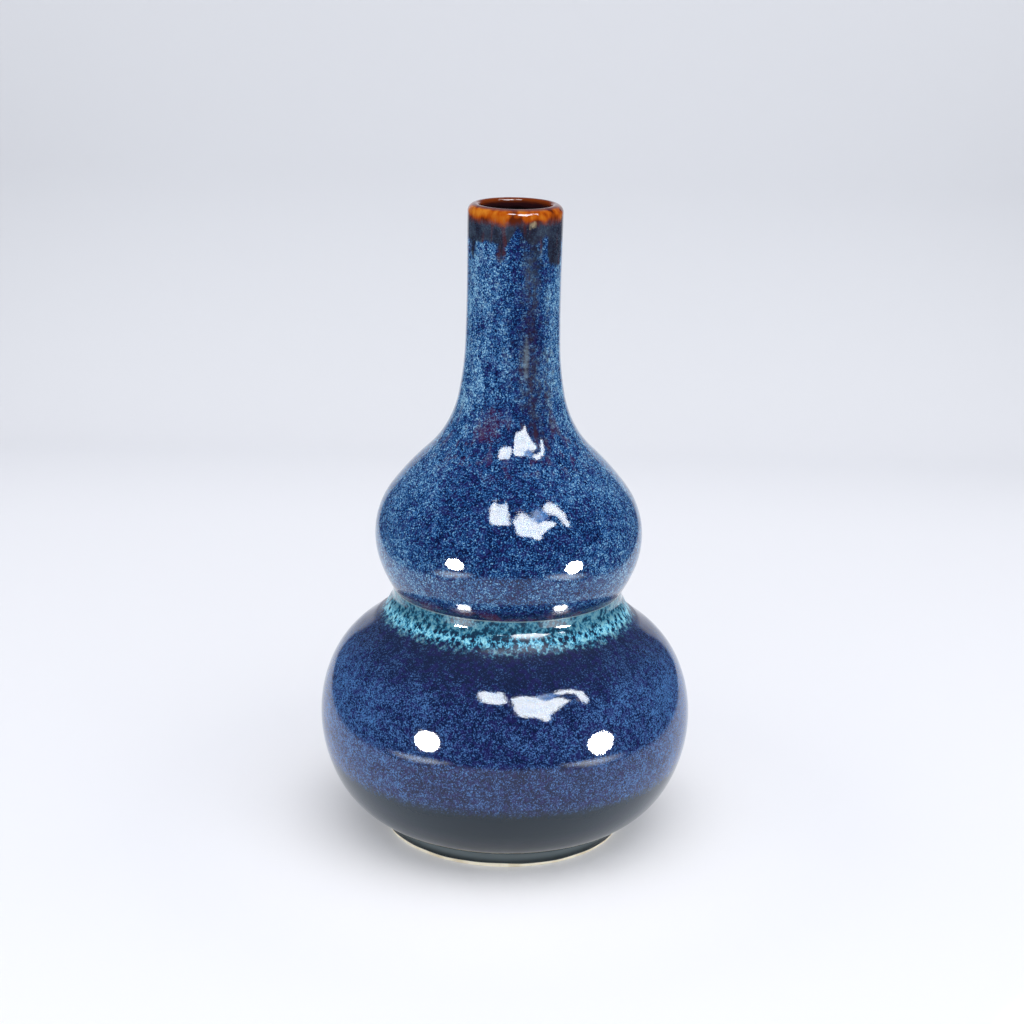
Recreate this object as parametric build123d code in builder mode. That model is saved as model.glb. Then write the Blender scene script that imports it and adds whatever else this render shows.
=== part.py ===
from build123d import *

import os
from math import cos, radians, sin, sqrt
from typing import NamedTuple

os.makedirs("parts", exist_ok=True)

# A double gourd vase in thrown stoneware, in millimetres, standing on the floor at the origin.
# The outline is the finished, glazed surface. Every coat and wall is measured inwards from it.
# A lean is the angle, in degrees, by which the wall leans outwards as it rises.

# Foot: an upright wall, then a tight hollow that turns out into the flare of the bulb
foot_radius = 46.8
foot_height = 4.4
foot_ring_height = 3.0
foot_ring_width = 5.2
foot_chamfer = 0.4
hollow_radius = 2.0
flare_lean = 70.0

# Lower bulb
belly_radius = 73.3
belly_height = 47.8
shoulder_reach = 12.15
shoulder_rise = 34.95
shoulder_lean = -53.5

# Waist: a short upright collar on the lower bulb, with the upper bulb standing in a crease on it
waist_radius = 44.95
collar_rise = 14.35
collar_length = 2.9
crease_lean = 33.0

# Foot of the swell in the turquoise glaze, outwards from the waist and up from the shoulder
swell_reach = 1.95
swell_rise = 9.95
swell_lean = -24.5

# Upper bulb
upper_radius = 52.1
upper_rise = 21.4
neck_root_rise = 33.1
neck_root_lean = -47.3

# Neck and mouth: what the root, the throat and the mouth add to the radius of the neck
neck_radius = 17.85
neck_root_reach = 14.85
throat_reach = 2.45
mouth_reach = 0.15
throat_rise = 22.7
throat_lean = -10.8
neck_rise = 39.8
mouth_rise = 33.0
bore_radius = 13.6
bore_length = 62.0
inner_lip_round = 1.35

# Walls, floor and the slip that joins the thrown sections
wall = 4.5
floor_height = 8.0
floor_flat_radius = 30.0
slip = 0.7
neck_joint_drop = 5.0

# Glaze coats, and how far each reaches
base_coat = 0.4
top_coat = 0.4
liner_coat = 0.4
lip_coat = 0.4
bare_foot = 0.8
band_height = 33.0
roll_width = 8.9
roll_pool = 0.8
blue_edge_drop = 12.0
lip_edge_drop = 4.3

# Iron runs down the neck. Each row: the way it faces in degrees, then its share of the width and length
run_width = 4.0
run_length = 8.0
run_shares = [
    (-150, 0.9, 1.4),
    (-105, 0.8, 0.7),
    (-62, 1.3, 8.2),
    (-25, 1.7, 0.9),
    (12, 0.7, 2.1),
    (48, 1.2, 1.1),
    (84, 0.8, 4.3),
    (122, 1.4, 0.8),
    (165, 1.0, 2.6),
]

# What follows from the sizes above
shoulder_radius = waist_radius + shoulder_reach
neck_root_radius = neck_radius + neck_root_reach
throat_radius = neck_radius + throat_reach
mouth_radius = neck_radius + mouth_reach
crest_radius = bore_radius + inner_lip_round
shoulder_height = belly_height + shoulder_rise
swell_radius = waist_radius + swell_reach
swell_height = shoulder_height + swell_rise
collar_height = shoulder_height + collar_rise
waist_height = collar_height + collar_length
upper_height = waist_height + upper_rise
neck_root_height = upper_height + neck_root_rise
throat_height = neck_root_height + throat_rise
neck_height = throat_height + neck_rise
vase_height = neck_height + mouth_rise
glaze = base_coat + top_coat
foot_joint = foot_ring_height + slip
neck_joint = throat_height - neck_joint_drop
bore_start = vase_height - bore_length
lip_edge = vase_height - lip_edge_drop
blue_edge = vase_height - blue_edge_drop
roll_edge = collar_height - roll_width


class Station(NamedTuple):
    """A place on the wall: its radius, its height and its lean."""

    radius: float
    height: float
    lean: float

    def inset(self, depth):
        """The same place, a depth further into the wall."""
        turn = radians(self.lean)
        return Station(self.radius - depth * cos(turn), self.height + depth * sin(turn), self.lean)

    @property
    def point(self):
        return Vector(self.radius, self.height)

    @property
    def rise(self):
        """The direction of the wall as it rises."""
        return Vector(sin(radians(self.lean)), cos(radians(self.lean)))


foot = Station(foot_radius, foot_height, 0)
flare = Station(
    foot_radius + hollow_radius * (1 - cos(radians(flare_lean))),
    foot_height + hollow_radius * sin(radians(flare_lean)),
    flare_lean,
)
belly = Station(belly_radius, belly_height, 0)
shoulder = Station(shoulder_radius, shoulder_height, shoulder_lean)
swell = Station(swell_radius, swell_height, swell_lean)
collar = Station(waist_radius, collar_height, 0)
clay_collar = Station(waist_radius, collar_height - roll_pool, 0)
crease_below = Station(waist_radius, waist_height, 0)
crease_above = Station(waist_radius, waist_height, crease_lean)
upper_belly = Station(upper_radius, upper_height, 0)
neck_root = Station(neck_root_radius, neck_root_height, neck_root_lean)
throat = Station(throat_radius, throat_height, throat_lean)
neck_waist = Station(neck_radius, neck_height, 0)


def arc_pair(low, high):
    """Two tangent arcs from one station of the wall up to the next."""
    chord = high.point - low.point
    both = low.rise + high.rise
    slack = 2 * (1 - low.rise.dot(high.rise))
    along = chord.dot(both)
    if slack < 1e-9:
        reach = chord.dot(chord) / (2 * along)
    else:
        reach = (sqrt(along**2 + slack * chord.dot(chord)) - along) / slack
    joint = (low.point + low.rise * reach + high.point - high.rise * reach) * 0.5
    TangentArc(low.point, joint, tangent=low.rise)
    TangentArc(high.point, joint, tangent=-high.rise)


def run_through(stations, depth):
    """The wall at a depth, through a row of stations, of which the last is given back."""
    places = [station.inset(depth) for station in stations]
    for low, high in zip(places, places[1:]):
        arc_pair(low, high)
    return places[-1]


def lip_arc(radius, depth):
    """A quarter round from a straight wall of this radius over to the crest of the lip."""
    crest = Vector(crest_radius, vase_height - depth)
    start = Vector(radius, crest.Y - abs(radius - crest_radius))
    TangentArc(start, crest, tangent=Vector(0, 1))
    return start


def turn_crease(depth):
    """The bend of an inner coat or wall around the crease at the waist."""
    if depth > 0:
        low = crease_below.inset(depth)
        TangentArc(low.point, crease_above.inset(depth).point, tangent=low.rise)


def blank(depth, lip_depth, slope):
    """The half section of a solid vase at a depth, with the slope that its shoulder takes up to the collar."""
    with BuildSketch() as face:
        with BuildLine():
            sole = Vector(foot_radius - depth, 0)
            Line(Vector(0, 0), sole)
            Line(sole, foot.inset(depth).point)
            top_of_slope = run_through([foot, flare, belly, *slope], depth)
            Line(top_of_slope.point, crease_below.inset(depth).point)
            turn_crease(depth)
            narrow = run_through([crease_above, upper_belly, neck_root, throat, neck_waist], depth)
            lip = lip_arc(mouth_radius - depth, lip_depth)
            arc_pair(narrow, Station(lip.X, lip.Y, 0))
            top = Vector(0, vase_height - lip_depth)
            Line(Vector(crest_radius, top.Y), top)
            Line(top, Vector(0, 0))
        make_face()
    return face.sketch


def hollow(depth, coat):
    """The half section of the hollow inside the vase, grown by a coat into the wall."""
    low = Station(floor_flat_radius, floor_height - coat, 90)
    bore = Station(bore_radius + coat, bore_start, 0)
    with BuildSketch() as face:
        with BuildLine():
            Line(Vector(0, low.height), low.point)
            arc_pair(low, belly.inset(depth))
            top_of_slope = run_through([belly, *clay_slope], depth)
            Line(top_of_slope.point, crease_below.inset(depth).point)
            turn_crease(depth)
            root = run_through([crease_above, upper_belly, neck_root], depth)
            arc_pair(root, bore)
            lip = lip_arc(bore.radius, coat)
            Line(bore.point, lip)
            top = Vector(0, vase_height - coat)
            Line(Vector(crest_radius, top.Y), top)
            Line(top, Vector(0, low.height))
        make_face()
    return face.sketch


def between(outer, inner):
    """The half section of what lies between two outlines."""
    with BuildSketch() as face:
        add(outer)
        add(inner, mode=Mode.SUBTRACT)
    return face.sketch


def level_slice(section, low, high):
    """The stretch of a half section from one height up to another."""
    with BuildSketch() as face:
        add(section)
        with Locations((0, low)):
            Rectangle(belly_radius + wall, high - low, align=(Align.MIN, Align.MIN), mode=Mode.INTERSECT)
    return face.sketch


def run_plane(angle):
    """An upright plane through the middle of the vase that faces this way."""
    out = Vector(cos(radians(angle)), sin(radians(angle)), 0)
    return Plane(origin=(0, 0, 0), x_dir=Vector(-out.Y, out.X, 0), z_dir=out)


def run_outline(width_share, length_share):
    """One run: it leaves the edge of the blue coat and ends in a round drop."""
    width = run_width * width_share
    length = run_length * length_share + width
    with Locations((0, blue_edge - length / 2 + width / 2)):
        SlotOverall(length + width, width, rotation=90)


clay_slope = [shoulder, clay_collar]
finished = blank(0, 0, [shoulder, swell, collar])
undercoat = blank(top_coat, lip_coat, clay_slope)
clay_blank = blank(glaze, lip_coat, clay_slope)
cavity = hollow(wall, 0)
clay_cavity = hollow(wall - liner_coat, liner_coat)
clay = between(clay_blank, clay_cavity)
first_coat = between(undercoat, clay_blank)
second_coat = between(finished, undercoat)
liner = between(clay_cavity, cavity)
lip_coats = between(between(finished, cavity), clay)

# Foot ring, bare where it stands on the table
with BuildPart() as foot_ring:
    with BuildSketch(Plane.XZ):
        with Locations((foot_radius - glaze, 0)):
            Rectangle(foot_ring_width, foot_ring_height, align=(Align.MAX, Align.MIN))
    revolve(axis=Axis.Z)
    chamfer(foot_ring.faces().sort_by(Axis.Z)[0].edges(), length=foot_chamfer)
foot_ring.part.label = "foot_ring"
export_step(foot_ring.part, "parts/foot_ring.step")

# Slip that joins the foot ring to the floor of the lower bulb
with BuildPart() as foot_slip:
    with BuildSketch(Plane.XZ):
        with Locations((foot_radius - glaze, foot_ring_height)):
            Rectangle(foot_ring_width, slip, align=(Align.MAX, Align.MIN))
    revolve(axis=Axis.Z)
foot_slip.part.label = "foot_slip"
export_step(foot_slip.part, "parts/foot_slip.step")

# Lower bulb, thrown as a closed-in bowl with its floor
with BuildPart() as lower_bulb:
    with BuildSketch(Plane.XZ):
        add(level_slice(clay, foot_joint, waist_height - slip / 2))
    revolve(axis=Axis.Z)
lower_bulb.part.label = "lower_bulb"
export_step(lower_bulb.part, "parts/lower_bulb.step")

# Slip in the crease, where the upper bulb stands on the collar of the lower one
with BuildPart() as waist_slip:
    with BuildSketch(Plane.XZ):
        add(level_slice(clay, waist_height - slip / 2, waist_height + slip / 2))
    revolve(axis=Axis.Z)
waist_slip.part.label = "waist_slip"
export_step(waist_slip.part, "parts/waist_slip.step")

# Upper bulb, open at both ends
with BuildPart() as upper_bulb:
    with BuildSketch(Plane.XZ):
        add(level_slice(clay, waist_height + slip / 2, neck_joint - slip / 2))
    revolve(axis=Axis.Z)
upper_bulb.part.label = "upper_bulb"
export_step(upper_bulb.part, "parts/upper_bulb.step")

# Slip under the neck
with BuildPart() as neck_slip:
    with BuildSketch(Plane.XZ):
        add(level_slice(clay, neck_joint - slip / 2, neck_joint + slip / 2))
    revolve(axis=Axis.Z)
neck_slip.part.label = "neck_slip"
export_step(neck_slip.part, "parts/neck_slip.step")

# Neck, with its straight bore and rounded lip
with BuildPart() as neck:
    with BuildSketch(Plane.XZ):
        add(level_slice(clay, neck_joint + slip / 2, vase_height))
    revolve(axis=Axis.Z)
neck.part.label = "neck"
export_step(neck.part, "parts/neck.step")

# Liner glaze that makes the inside hold water
with BuildPart() as liner_glaze:
    with BuildSketch(Plane.XZ):
        add(level_slice(liner, 0, lip_edge))
    revolve(axis=Axis.Z)
liner_glaze.part.label = "liner_glaze"
export_step(liner_glaze.part, "parts/liner_glaze.step")

# Dark base glaze: one coat under the blue, two coats where it shows above the foot and below the lip
with BuildPart() as base_glaze:
    with BuildSketch(Plane.XZ):
        add(level_slice(first_coat, bare_foot, lip_edge))
        add(level_slice(second_coat, bare_foot, band_height))
        add(level_slice(second_coat, blue_edge, lip_edge))
    revolve(axis=Axis.Z)
base_glaze.part.label = "base_glaze"
export_step(base_glaze.part, "parts/base_glaze.step")

# Blue glaze of the lower bulb
with BuildPart() as lower_blue_glaze:
    with BuildSketch(Plane.XZ):
        add(level_slice(second_coat, band_height, roll_edge))
    revolve(axis=Axis.Z)
lower_blue_glaze.part.label = "lower_blue_glaze"
export_step(lower_blue_glaze.part, "parts/lower_blue_glaze.step")

# Turquoise roll, where the glaze ran down and pooled on the collar and shoulder
with BuildPart() as turquoise_roll:
    with BuildSketch(Plane.XZ):
        add(level_slice(second_coat, roll_edge, waist_height))
    revolve(axis=Axis.Z)
turquoise_roll.part.label = "turquoise_roll"
export_step(turquoise_roll.part, "parts/turquoise_roll.step")

# Blue glaze of the upper bulb and neck, parted by the iron runs
with BuildPart() as upper_blue_glaze:
    with BuildSketch(Plane.XZ):
        add(level_slice(second_coat, waist_height, blue_edge))
    revolve(axis=Axis.Z)
    for angle, width_share, length_share in run_shares:
        with BuildSketch(run_plane(angle)):
            run_outline(width_share, length_share)
        extrude(amount=neck_root_radius, mode=Mode.SUBTRACT)
upper_blue_glaze.part.label = "upper_blue_glaze"
export_step(upper_blue_glaze.part, "parts/upper_blue_glaze.step")

# Amber glaze over the lip, outside and inside
with BuildPart() as lip_glaze:
    with BuildSketch(Plane.XZ):
        add(level_slice(lip_coats, lip_edge, vase_height))
    revolve(axis=Axis.Z)
lip_glaze.part.label = "lip_glaze"
export_step(lip_glaze.part, "parts/lip_glaze.step")

# Iron runs, each seated in its own gap in the blue glaze
for number, (angle, width_share, length_share) in enumerate(run_shares, start=1):
    with BuildPart() as iron_run:
        with BuildSketch(run_plane(angle)):
            run_outline(width_share, length_share)
        extrude(amount=neck_root_radius)
        with BuildSketch(Plane.XZ):
            add(level_slice(second_coat, waist_height, blue_edge))
        revolve(axis=Axis.Z, mode=Mode.INTERSECT)
    iron_run.part.label = f"iron_run_{number}"
    export_step(iron_run.part, f"parts/iron_run_{number}.step")
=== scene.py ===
"""A double gourd vase in stoneware with a drip glaze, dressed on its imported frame.

All lengths are in metres, except in the finishes, whose patterns are laid out in millimetres.
"""

import logging
from dataclasses import dataclass, field
from enum import Enum
from math import atan2, ceil, cos, pi, radians, sin, sqrt

import bmesh
import bpy
import numpy as np
from mathutils import Matrix, Vector


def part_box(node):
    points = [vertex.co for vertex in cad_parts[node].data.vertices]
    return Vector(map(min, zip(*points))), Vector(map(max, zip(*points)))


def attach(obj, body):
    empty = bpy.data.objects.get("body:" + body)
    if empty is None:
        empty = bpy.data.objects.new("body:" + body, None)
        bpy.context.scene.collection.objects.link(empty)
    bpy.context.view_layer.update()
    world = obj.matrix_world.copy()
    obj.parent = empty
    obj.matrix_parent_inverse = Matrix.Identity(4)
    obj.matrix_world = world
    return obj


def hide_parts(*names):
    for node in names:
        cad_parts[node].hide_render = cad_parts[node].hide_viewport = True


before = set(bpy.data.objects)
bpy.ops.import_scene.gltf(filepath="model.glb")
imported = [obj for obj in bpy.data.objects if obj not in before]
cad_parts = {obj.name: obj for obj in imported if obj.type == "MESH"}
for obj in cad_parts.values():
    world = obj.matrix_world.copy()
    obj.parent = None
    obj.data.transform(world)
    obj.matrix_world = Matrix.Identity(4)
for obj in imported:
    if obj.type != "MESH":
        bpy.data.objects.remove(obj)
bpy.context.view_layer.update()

log = logging.getLogger("vase")
MM = 0.001
BODY = "root"
# The hidden side of a coat keeps each fourth point of the line that it follows.
HIDDEN_STEP = 4

Colour = tuple[float, float, float, float]
Stops = tuple[tuple[float, Colour], ...]
Point = tuple[float, float, float]
Socket = bpy.types.NodeSocket
Value = float | tuple[float, ...] | Socket


def srgb(red: int, green: int, blue: int) -> Colour:
    """A colour as the shaders want it.

    Args:
        red: the red of the colour, 0 to 255.
        green: its green.
        blue: its blue.

    Returns:
        The same colour in linear light.
    """
    shares = [channel / 255 for channel in (red, green, blue)]
    linear = [c / 12.92 if c <= 0.04045 else ((c + 0.055) / 1.055) ** 2.4 for c in shares]
    return (*linear, 1.0)


@dataclass(frozen=True)
class Station:
    """A place on the wall of the vase, with the angle in degrees by which the wall leans out as it rises."""

    radius: float
    height: float
    lean: float = 0.0

    @property
    def point(self) -> np.ndarray:
        """The place as (radius, height)."""
        return np.array([self.radius, self.height])

    @property
    def rise(self) -> np.ndarray:
        """The direction of the wall as it rises."""
        return np.array([sin(radians(self.lean)), cos(radians(self.lean))])

    def inset(self, depth: float) -> "Station":
        """The same place, a depth further into the wall."""
        turn = radians(self.lean)
        return Station(self.radius - depth * cos(turn), self.height + depth * sin(turn), self.lean)


class Line:
    """A line on the half section of the vase, sampled into points with their outward normals."""

    STEP = 1.1 * MM
    TURN = radians(5)
    LEAST_BEND = 1e-3
    LEAST_SLACK = 1e-9

    def __init__(self) -> None:
        """Starts an empty line."""
        self.points: list[np.ndarray] = []
        self.normals: list[np.ndarray] = []

    def _add(self, points: np.ndarray, travel: np.ndarray) -> None:
        """Appends points. Where they start at the line's last point, that point is kept once.

        Args:
            points: the points, in order.
            travel: the unit direction of the line at each of them.
        """
        skip = 1 if self.points and np.allclose(self.points[-1], points[0]) else 0
        self.points.extend(points[skip:])
        self.normals.extend(np.stack([travel[:, 1], -travel[:, 0]], axis=1)[skip:])

    def straight(self, start: np.ndarray, end: np.ndarray) -> None:
        """Adds a straight stretch.

        Args:
            start: where it starts.
            end: where it ends.
        """
        length = float(np.hypot(*(end - start)))
        share = np.linspace(0, 1, max(2, ceil(length / self.STEP) + 1))[:, None]
        travel = np.repeat([(end - start) / length], len(share), axis=0)
        self._add(start + (end - start) * share, travel)

    def arc(self, start: np.ndarray, travel: np.ndarray, end: np.ndarray) -> None:
        """Adds a round stretch.

        Args:
            start: where it starts.
            travel: the unit direction in which it leaves the start.
            end: where it ends.
        """
        chord = end - start
        side = np.array([-travel[1], travel[0]])
        bend = 2 * chord.dot(side) / chord.dot(chord)
        if abs(bend) < self.LEAST_BEND:
            self.straight(start, end)
            return
        turn = 2 * atan2(chord.dot(side), chord.dot(travel))
        count = max(ceil(abs(turn / bend) / self.STEP), ceil(abs(turn) / self.TURN)) + 1
        angle = np.linspace(0, turn, count)[:, None]
        along = np.sin(angle) / bend
        across = (1 - np.cos(angle)) / bend
        self._add(start + travel * along + side * across, travel * np.cos(angle) + side * np.sin(angle))

    def pair(self, low: Station, high: Station) -> None:
        """Adds two tangent arcs from one station up to the next.

        Args:
            low: the station where the stretch starts.
            high: the station where it ends.
        """
        chord = high.point - low.point
        slack = 2 * (1 - low.rise.dot(high.rise))
        along = chord.dot(low.rise + high.rise)
        if slack < self.LEAST_SLACK:
            reach = chord.dot(chord) / (2 * along)
        else:
            reach = (sqrt(along**2 + slack * chord.dot(chord)) - along) / slack
        last = high.point - high.rise * reach
        joint = (low.point + low.rise * reach + last) / 2
        self.arc(low.point, low.rise, joint)
        self.arc(joint, (last - joint) / np.hypot(*(last - joint)), high.point)

    def turned_back(self) -> "Line":
        """Turns the line round, since the inside of the wall runs down where the outside runs up.

        Returns:
            The same line, run the other way, with its normals reversed.
        """
        back = Line()
        back.points = self.points[::-1]
        back.normals = [-normal for normal in self.normals[::-1]]
        return back

    def cut(self, low: float, high: float | None = None) -> "Line":
        """The stretch that starts at one height and ends at another.

        Args:
            low: the height where it starts.
            high: the height where it ends, or None to keep all the rest of the line.

        Returns:
            The stretch, with a point at exactly each end.
        """
        heights = [point[1] for point in self.points]
        first = self._place(heights, low)
        last = float(len(heights) - 1) if high is None else self._place(heights, high)
        places = [first, *range(int(first) + 1, ceil(last)), last]
        part = Line()
        for place in places:
            index = min(int(place), len(heights) - 2)
            share = place - index
            part.points.append(self.points[index] * (1 - share) + self.points[index + 1] * share)
            normal = self.normals[index] * (1 - share) + self.normals[index + 1] * share
            part.normals.append(normal / np.hypot(*normal))
        return part

    @staticmethod
    def _place(heights: list[float], level: float) -> float:
        """Finds where a rising run of heights passes a level.

        Args:
            heights: the heights, in order.
            level: the level.

        Returns:
            The place in the run, as an index with a fraction.
        """
        if level <= heights[0]:
            return 0.0
        above = next(i for i, height in enumerate(heights) if height >= level)
        step = heights[above] - heights[above - 1]
        return above - (heights[above] - level) / step


@dataclass
class Wall:
    """The wall of the vase: the stations of its outer line, and the heights where its coats end."""

    foot: Station = Station(0.0468, 0.0044)
    hollow_radius: float = 0.002
    flare_lean: float = 70.0
    belly: Station = Station(0.0733, 0.0478)
    shoulder: Station = Station(0.0571, 0.08275, -53.5)
    swell: Station = Station(0.0469, 0.0927, -24.5)
    collar: Station = Station(0.04495, 0.0971)
    collar_pool: float = 0.0008
    crease_lean: float = 33.0
    upper_belly: Station = Station(0.0521, 0.1214)
    neck_root: Station = Station(0.0327, 0.1545, -47.3)
    throat: Station = Station(0.0203, 0.1772, -10.8)
    neck_waist: Station = Station(0.01785, 0.217)
    mouth_radius: float = 0.018
    bore_radius: float = 0.0136
    crest_radius: float = 0.01495
    bore_length: float = 0.062
    thickness: float = 0.0045
    floor_radius: float = 0.030
    bare_foot: float = field(default_factory=lambda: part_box("base_glaze")[0].z)
    band_top: float = field(default_factory=lambda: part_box("lower_blue_glaze")[0].z)
    roll_foot: float = field(default_factory=lambda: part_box("turquoise_roll")[0].z)
    waist: float = field(default_factory=lambda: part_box("turquoise_roll")[1].z)
    blue_top: float = field(default_factory=lambda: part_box("upper_blue_glaze")[1].z)
    lip_foot: float = field(default_factory=lambda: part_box("lip_glaze")[0].z)
    top: float = field(default_factory=lambda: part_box("lip_glaze")[1].z)
    floor: float = 0.008

    def lower_line(self) -> Line:
        """Draws the outside of the foot and the lower bulb.

        Returns:
            The line from the table up to the crease.
        """
        turn = radians(self.flare_lean)
        flare = Station(
            self.foot.radius + self.hollow_radius * (1 - cos(turn)),
            self.foot.height + self.hollow_radius * sin(turn),
            self.flare_lean,
        )
        line = Line()
        line.straight(np.array([self.foot.radius, 0.0]), self.foot.point)
        stations = (self.foot, flare, self.belly, self.shoulder, self.swell, self.collar)
        for low, high in zip(stations, stations[1:]):
            line.pair(low, high)
        line.straight(self.collar.point, np.array([self.collar.radius, self.waist]))
        return line

    def upper_line(self) -> Line:
        """Draws the outside of the upper bulb, the neck and the lip.

        Returns:
            The line from the crease up over the lip, and down the bore to the foot of the lip's coat.
        """
        crease = Station(self.collar.radius, self.waist, self.crease_lean)
        outer_round = self.mouth_radius - self.crest_radius
        inner_round = self.crest_radius - self.bore_radius
        mouth = Station(self.mouth_radius, self.top - outer_round)
        crest = np.array([self.crest_radius, self.top])
        inner = np.array([self.bore_radius, self.top - inner_round])
        stations = (crease, self.upper_belly, self.neck_root, self.throat, self.neck_waist, mouth)
        line = Line()
        for low, high in zip(stations, stations[1:]):
            line.pair(low, high)
        line.arc(mouth.point, mouth.rise, crest)
        line.arc(crest, np.array([-1.0, 0.0]), inner)
        line.straight(inner, np.array([self.bore_radius, self.lip_foot]))
        return line

    def inner_line(self) -> Line:
        """Draws the inside, a wall's thickness behind the outside.

        Returns:
            The line from the foot of the lip's coat down to the middle of the floor.
        """
        depth = self.thickness
        bore = Station(self.bore_radius, self.top - self.bore_length)
        low_floor = Station(self.floor_radius, self.floor, 90.0)
        low_collar = Station(self.collar.radius, self.collar.height - self.collar_pool).inset(depth)
        crease_low = Station(self.collar.radius, self.waist).inset(depth)
        crease_high = Station(self.collar.radius, self.waist, self.crease_lean).inset(depth)
        line = Line()
        line.straight(np.array([0.0, self.floor]), low_floor.point)
        line.pair(low_floor, self.belly.inset(depth))
        line.pair(self.belly.inset(depth), self.shoulder.inset(depth))
        line.pair(self.shoulder.inset(depth), low_collar)
        line.straight(low_collar.point, crease_low.point)
        line.arc(crease_low.point, crease_low.rise, crease_high.point)
        line.pair(crease_high, self.upper_belly.inset(depth))
        line.pair(self.upper_belly.inset(depth), self.neck_root.inset(depth))
        line.pair(self.neck_root.inset(depth), bore)
        line.straight(bore.point, np.array([self.bore_radius, self.lip_foot]))
        return line.turned_back()


@dataclass(frozen=True)
class Run:
    """An iron run down the neck, with the way it faces in degrees and how well it covers the blue."""

    facing: float
    width: float
    length: float
    cover: float = 0.75


@dataclass
class IronEdge:
    """The lower edge of the iron glaze round the neck, with its runs and the tongues of blue in it.

    A tongue is the way it faces in degrees, and how far it rises above the edge.
    """

    level: float
    tongue_width: float = 0.0026
    tongues: tuple[tuple[float, float], ...] = (
        (-86, 0.0062),
        (-50, 0.0030),
        (-128, 0.0008),
        (0, 0.0035),
        (35, 0.0010),
        (68, 0.0050),
        (103, 0.0022),
        (148, 0.0042),
        (-172, 0.0018),
    )
    runs: tuple[Run, ...] = (
        Run(-150, 0.0036, 0.0060),
        Run(-106, 0.0030, 0.0056),
        Run(-71, 0.0015, 0.0700, 1.0),
        Run(-66, 0.0080, 0.0740, 0.12),
        Run(-32, 0.0100, 0.0090),
        Run(12, 0.0028, 0.0170),
        Run(48, 0.0048, 0.0088),
        Run(84, 0.0044, 0.0400, 0.4),
        Run(122, 0.0056, 0.0064),
        Run(165, 0.0050, 0.0240, 0.5),
    )

    def depth(self, angle: np.ndarray, height: np.ndarray, radius: np.ndarray) -> np.ndarray:
        """How far inside the iron glaze each place lies, in millimetres, negative outside it.

        Args:
            angle: the angle of each place round the axis, in radians.
            height: its height.
            radius: its distance from the axis.

        Returns:
            The distance from the edge of the iron glaze.
        """
        level = np.full_like(angle, self.level)
        for facing, tall in self.tongues:
            aside = self._aside(angle, facing, radius) / self.tongue_width
            level = level + tall * np.exp(-(aside**2))
        inside = height - level
        for run in self.runs:
            half = run.width / 2
            aside = self._aside(angle, run.facing, radius)
            below = np.maximum(0, self.level - run.length + half - height)
            inside = np.maximum(inside, run.cover * (half - np.hypot(aside, below)))
        return inside / MM

    @staticmethod
    def _aside(angle: np.ndarray, facing: float, radius: np.ndarray) -> np.ndarray:
        """How far each place lies to the side of a direction, along the surface."""
        turn = (angle - radians(facing) + pi) % (2 * pi) - pi
        return turn * radius


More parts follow.
